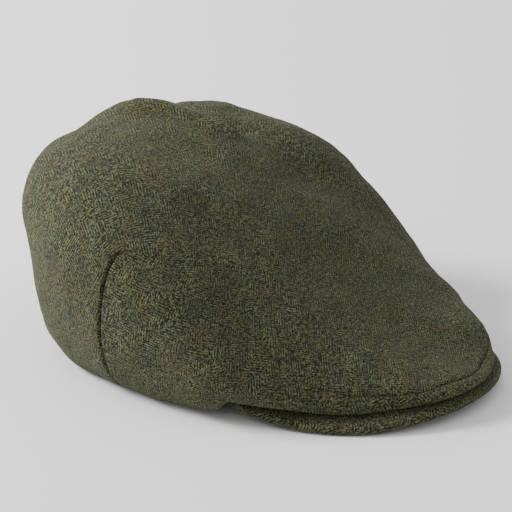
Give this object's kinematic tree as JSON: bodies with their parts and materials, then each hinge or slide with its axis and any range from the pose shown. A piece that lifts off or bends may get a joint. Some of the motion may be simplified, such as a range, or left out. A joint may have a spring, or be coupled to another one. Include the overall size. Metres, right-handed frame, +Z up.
{
  "type": "flat cap",
  "caption": "Olive herringbone tweed flat cap with a low front, side panels and a small cloth-covered peak.",
  "frame": {"origin": "under the middle of the bounding box, on the surface the cap rests on", "axes": "+Z up, the peak points to -Y, the wearer's left is +X"},
  "size_m": [0.215, 0.2718, 0.1176],
  "materials": {
    "tweed": "matt herringbone wool tweed, dark olive with rust, yellow-green and blue flecks"
  },
  "bodies": {
    "root": {"top_panel": "tweed", "side_panel_right": "tweed", "side_panel_left": "tweed", "peak": "tweed"}
  },
  "joints": []
}
